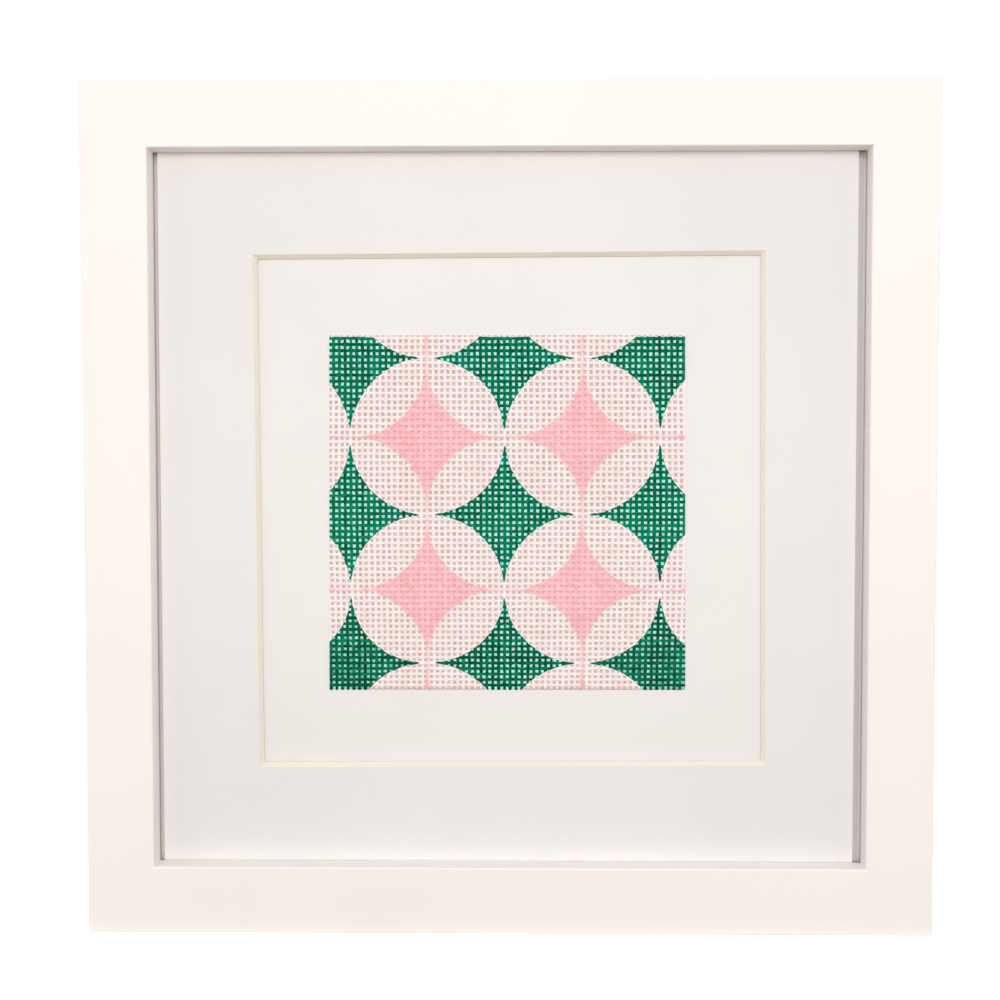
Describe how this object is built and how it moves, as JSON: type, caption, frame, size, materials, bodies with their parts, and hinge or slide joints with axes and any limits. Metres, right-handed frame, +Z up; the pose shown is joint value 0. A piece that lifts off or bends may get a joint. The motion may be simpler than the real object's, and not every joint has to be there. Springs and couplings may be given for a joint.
{
  "type": "needlepoint canvas panel in a picture frame",
  "caption": "Square painted needlepoint canvas on a mount board under a bevelled window mat, held in a flat-faced mitred picture frame that stands on its edge.",
  "frame": {"origin": "on the surface that the frame stands on, under the middle of its width and depth", "axes": "+Z up, -Y out of the face of the picture, +X to the right as seen from the front"},
  "size_m": [0.254, 0.022, 0.255],
  "materials": {
    "white_paint": "satin white paint over smooth wood",
    "mat_card": "matt white card with a cream core at its bevel",
    "mount_card": "matt white card",
    "painted_canvas": "open cotton canvas painted in green, pink and pale blush",
    "hardboard": "smooth brown hardboard",
    "point_steel": "plain flat steel"
  },
  "bodies": {
    "root": {"frame_rail_bottom": "white_paint", "frame_rail_right": "white_paint", "frame_rail_top": "white_paint", "frame_rail_left": "white_paint", "mat_board": "mat_card", "mount_board": "mount_card", "canvas_panel": "painted_canvas", "back_board": "hardboard", "point_bottom_1": "point_steel", "point_bottom_2": "point_steel", "point_right_1": "point_steel", "point_right_2": "point_steel", "point_top_1": "point_steel", "point_top_2": "point_steel", "point_left_1": "point_steel", "point_left_2": "point_steel"}
  },
  "joints": []
}
